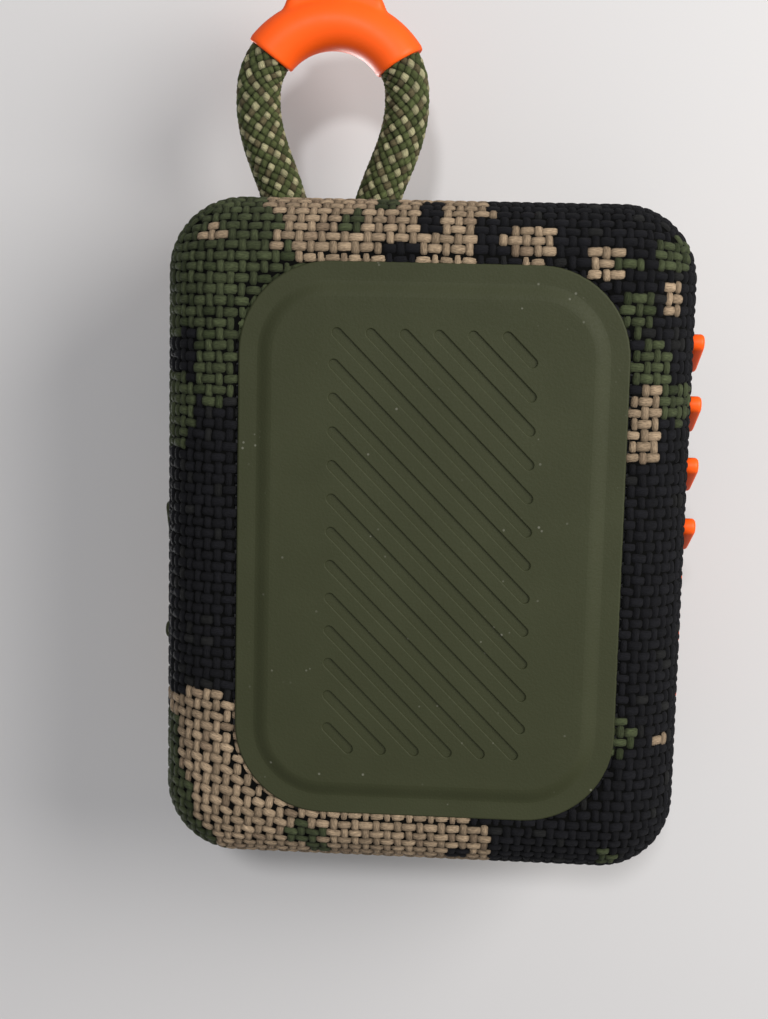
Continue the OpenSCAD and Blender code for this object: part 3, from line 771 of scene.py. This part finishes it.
def ropePlace(s, angle, lift):
    x = np.interp(s, ropeDistance, ropeLine[:, 0])
    z = np.interp(s, ropeDistance, ropeLine[:, 1])
    near = np.clip(s, 0.3, ropeTotal - 0.3)
    ahead, behind = near + 0.3, near - 0.3
    tx = np.interp(ahead, ropeDistance, ropeLine[:, 0]) - np.interp(behind, ropeDistance, ropeLine[:, 0])
    tz = np.interp(ahead, ropeDistance, ropeLine[:, 1]) - np.interp(behind, ropeDistance, ropeLine[:, 1])
    run = np.hypot(tx, tz)
    sideX, sideZ = -tz / run, tx / run
    nx, ny, nz = sideX * np.cos(angle), np.sin(angle), sideZ * np.cos(angle)
    out = rope["radius"] + lift
    return np.stack([x + nx * out, ny * out, z + nz * out], -1), np.stack([nx, ny, nz], -1)


def makeRopeCore():
    sides = rope["around"]
    angles = np.linspace(0, 2 * math.pi, sides + 1)[:-1]
    bm = bmesh.new()
    rings = []
    for s in np.linspace(0, ropeTotal, rope["rows"]):
        places, _ = ropePlace(np.full(sides, s), angles, np.full(sides, -rope["under"]))
        rings.append([bm.verts.new(p * mm) for p in places])
    for first, second in zip(rings, rings[1:]):
        for k in range(sides):
            bm.faces.new((first[k], first[(k + 1) % sides], second[(k + 1) % sides], second[k]))
    bm.faces.new(rings[0])
    bm.faces.new(rings[-1])
    return meshFrom(bm, "ropeCore")


def ropeCrossings():
    found = []
    for i in range(rope["around"]):
        for j in range(rope["rows"] + 1):
            if (i + j) % 2:
                continue
            over = i % 2 == 0
            s = 1.0 + (ropeTotal - 2.0) * j / rope["rows"]
            arc = i * 2 * math.pi * rope["radius"] / rope["around"]
            strand = ((i + j) // 2) % 12 if over else ((i - j) // 2) % 12
            colour = (0.075, 0.09, 0.034)
            if over and strand % 2 == 0:
                colour = (0.33, 0.31, 0.18)
            elif not over and strand % 3 == 0:
                colour = (0.1, 0.085, 0.045)
            fade = random.uniform(0.75, 1.25)
            found.append((s, arc, over, tuple(v * fade for v in colour), 0.82 if over else -0.82, 0.0))
    return found


core = makeRopeCore()
braid = addFloats("loop_braid", ropeCrossings(), lambda s, arc, h: ropePlace(s, arc / rope["radius"], h),
                  ((1.36, 1.2), (1.36, 1.2)), "braid", "rope", "loop", 0.55)
coreHolder = addPiece("loop_cord", core, "rope", "rope", "loop", "loop_rope")


def makeSleeve():
    # a smooth sleeve swept round the bend, with a flat grip tab moulded on its outside
    sleeve = {"x": -60.8, "z": 53.8, "bend": 11.5, "start": 127, "sweep": 111}
    sides = 64
    stations = [(0.0, 3.2), (0.0, 3.5), (0.08, 3.68), (0.45, 3.8)]
    total = math.radians(sleeve["sweep"]) * sleeve["bend"]
    middle = np.linspace(0.8, total - 0.8, 76)
    profile = stations + [(m, 3.8) for m in middle] + [(total - d, r) for d, r in reversed(stations)]
    bm = bmesh.new()
    rings = []
    for d, radius in profile:
        theta = math.radians(sleeve["start"]) + d / sleeve["bend"]
        degrees = math.degrees(theta)
        rise = max(0.0, min(1.0, (degrees - 150) / 9)) * max(0.0, min(1.0, (211 - degrees) / 8))
        rise = rise * rise * (3 - 2 * rise)
        ring = []
        for k in range(sides):
            phi = 2 * math.pi * k / sides
            reach = radius
            if math.cos(phi) > 0.05 and rise > 0:
                tab = ((math.cos(phi) / 5.1) ** 8 + (abs(math.sin(phi)) / 2.2) ** 8) ** (-1 / 8)
                both = (radius ** 22 + tab ** 22) ** (1 / 22)
                reach = radius + (both - radius) * rise
            out = sleeve["bend"] + reach * math.cos(phi)
            ring.append(bm.verts.new(((sleeve["x"] + out * math.cos(theta)) * mm, reach * math.sin(phi) * mm,
                                      (sleeve["z"] + out * math.sin(theta)) * mm)))
        rings.append(ring)
    for first, second in zip(rings, rings[1:]):
        for k in range(sides):
            bm.faces.new((first[k], first[(k + 1) % sides], second[(k + 1) % sides], second[k]))
    bm.faces.new(rings[0])
    bm.faces.new(rings[-1])
    return meshFrom(bm, "sleeveSkin")


sleevePiece = addPiece("loop_grip_sleeve", makeSleeve(), "orange_silicone", "orange_silicone", "loop",
                       "loop_sleeve")
print("loop made")

# back pad

def makePad():
    # rings from the buried edge up over the rim and the slope
    profile = [
        (0.0, 19.36), (0.0, 20.15), (0.08, 20.32), (0.25, 20.4), (2.3, 20.4), (2.6, 20.41), (2.9, 20.47),
        (3.3, 20.64), (3.9, 20.9), (4.3, 21.03), (4.7, 21.09), (5.1, 21.1), (6.0, 21.1), (6.02, 20.9),
    ]
    bm = bmesh.new()
    rings = []
    for inset, level in profile:
        outline = roundedRect(pad["width"] - 2 * inset, pad["height"] - 2 * inset, pad["radius"] - inset, 14)
        rings.append([bm.verts.new((x * mm, level * mm, (z + pad["z"]) * mm)) for x, z in outline])
    count = len(rings[0])
    for first, second in zip(rings, rings[1:]):
        for k in range(count):
            bm.faces.new((first[k], first[(k + 1) % count], second[(k + 1) % count], second[k]))
    bm.faces.new(rings[0])
    floorRing = [bm.verts.new(v.co + Vector((0, -0.06 * mm, 0))) for v in rings[-1]]
    for k in range(count):
        bm.faces.new((rings[-1][k], rings[-1][(k + 1) % count], floorRing[(k + 1) % count], floorRing[k]))
    bm.faces.new(floorRing)
    bm.normal_update()
    for edge in bm.edges:
        edge.smooth = not (len(edge.link_faces) == 2 and edge.calc_face_angle() > 0.6)
    return keepFlat(meshFrom(bm, "padRim"))


def makeRibs():
    # the raised field as one flat outline with its slots left open
    curve = bpy.data.curves.new("ribs", "CURVE")
    curve.dimensions = "2D"
    curve.fill_mode = "BOTH"
    curve.extrude = 0.35 * mm
    curve.bevel_depth = 0.16 * mm
    curve.bevel_resolution = 3
    inset = pad["field"]
    outlines = [roundedRect(pad["width"] - 2 * inset, pad["height"] - 2 * inset, pad["radius"] - inset, 14)]
    halfX, halfZ = 28.9, 13.4
    for n in range(-5, 13):
        k = pad["pitch"] * (n - 0.08)
        start = (k - halfX, halfZ) if k > 0 else (-halfX, halfZ + k)
        end = (halfX, k + halfZ - 2 * halfX) if k > 2 * (halfX - halfZ) else (k + 2 * halfZ - halfX, -halfZ)
        outlines.append(barOutline(start, end, pad["slot"], 8))
    for points in outlines:
        spline = curve.splines.new("POLY")
        spline.points.add(len(points) - 1)
        for k, (x, z) in enumerate(points):
            spline.points[k].co = (x * mm, z * mm, 0, 1)
        spline.use_cyclic_u = True
    holder = bpy.data.objects.new("ribs", curve)
    scene.collection.objects.link(holder)
    mesh = bpy.data.meshes.new_from_object(holder.evaluated_get(bpy.context.evaluated_depsgraph_get()))
    bpy.data.objects.remove(holder)
    place = Matrix.Translation((0, (pad["top"] - 0.515) * mm, pad["z"] * mm))
    turn = place @ Matrix.Rotation(math.pi / 2, 4, "X")
    bm = bmesh.new()
    bm.from_mesh(mesh)
    bmesh.ops.remove_doubles(bm, verts=bm.verts, dist=1e-7)
    bmesh.ops.transform(bm, matrix=turn, verts=bm.verts)
    for edge in bm.edges:
        edge.smooth = not (len(edge.link_faces) == 2 and edge.calc_face_angle() > 0.7)
    return keepFlat(meshFrom(bm, "padRibs"))


addPiece("back_pad_rim", makePad(), "olive_rubber", "olive_rubber", "chassis", "back_pad")
addPiece("back_pad_ribs", makeRibs(), "olive_rubber", "olive_rubber", "chassis")
print("pad made")

# feet, play keys and side buttons


def makeFeet():
    bm = bmesh.new()
    down = Matrix.Translation((0, 0, 3.0 * mm)) @ Matrix.Diagonal((mm, mm, -mm, 1))
    for a, b in feet:
        addPad(bm, barOutline(a, b, 2.4), 3.0, 0.55, down)
    return meshFrom(bm, "feet")


def makeKey(outlines, x):
    bm = bmesh.new()
    up = Matrix.Translation((x * mm, keyY * mm, 73.4 * mm)) @ Matrix.Diagonal((mm, mm, mm, 1))
    for outline in outlines:
        addPad(bm, outline, 2.7, 0.45, up)
    disc = [(5.1 * math.cos(a), 5.1 * math.sin(a)) for a in np.linspace(0, 2 * math.pi, 41)[:-1]]
    flat = Matrix.Translation((x * mm, keyY * mm, 72.6 * mm)) @ Matrix.Diagonal((mm, mm, mm, 1))
    addPad(bm, disc, 0.8, 0.15, flat)
    stem = [(1.5 * math.cos(a), 1.5 * math.sin(a)) for a in np.linspace(0, 2 * math.pi, 25)[:-1]]
    post = Matrix.Translation((x * mm, keyY * mm, 71.1 * mm)) @ Matrix.Diagonal((mm, mm, mm, 1))
    addPad(bm, stem, 1.5, 0.1, post)
    return meshFrom(bm, "playKey")


def plusOutline(arm, half):
    # a plus with four round ends, anticlockwise
    points = []
    for turn in range(4):
        heading = math.radians(90 * turn)
        for i in range(9):
            angle = heading + math.radians(-90 + 180 * i / 8)
            points.append((arm * math.cos(heading) + half * math.cos(angle),
                           arm * math.sin(heading) + half * math.sin(angle)))
        corner = heading + math.radians(45)
        points.append((half * math.sqrt(2) * math.cos(corner), half * math.sqrt(2) * math.sin(corner)))
    return points


def playOutline():
    points = []
    for (cx, cy), first in (((3.4, 0), -58), ((-2.6, 3.2), 62), ((-2.6, -3.2), 180)):
        for i in range(9):
            angle = math.radians(first + 118 * i / 8)
            points.append((cx + 0.9 * math.cos(angle), cy + 0.9 * math.sin(angle)))
    return points


button = {"stem": 1.1, "flange": 3.6, "cap": 3.0, "flangeStart": 44.6, "flangeEnd": 45.4}


def makeButton(name):
    # stem, flange and softly rounded cap, built upward and then turned to point along +X
    low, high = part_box(name)
    middle = (low + high) / 2
    bm = bmesh.new()
    for radius, start, end, soft in (
        (button["stem"], low.x / mm, button["flangeStart"], 0.1),
        (button["flange"], button["flangeStart"], button["flangeEnd"], 0.12),
        (button["cap"], button["flangeEnd"], high.x / mm, 0.4),
    ):
        outline = [(radius * math.cos(a), radius * math.sin(a)) for a in np.linspace(0, 2 * math.pi, 41)[:-1]]
        place = Matrix.Translation((start * mm, middle.y, middle.z)) @ Matrix.Rotation(math.pi / 2, 4, "Y")
        addPad(bm, outline, end - start, soft, place @ Matrix.Scale(mm, 4))
    return meshFrom(bm, "sideButton")


addPiece("foot_pads", makeFeet(), "orange_silicone", "orange_silicone", "chassis", "foot_bars")
addPiece("minus_key_cap", makeKey([barOutline((-3.1, 0), (3.1, 0), 2.4)], -15.5), "olive_rubber",
         "olive_rubber", "minus_key", "minus_key")
addPiece("play_key_cap", makeKey([playOutline()], 0), "olive_rubber", "olive_rubber", "play_key", "play_key")
addPiece("plus_key_cap", makeKey([plusOutline(3.1, 1.2)], 15.5), "olive_rubber", "olive_rubber",
         "plus_key", "plus_key")
for name in ("power_button", "pairing_button"):
    addPiece(name + "_cap", makeButton(name), "olive_rubber", "olive_rubber", name, name)
print("feet and keys made")
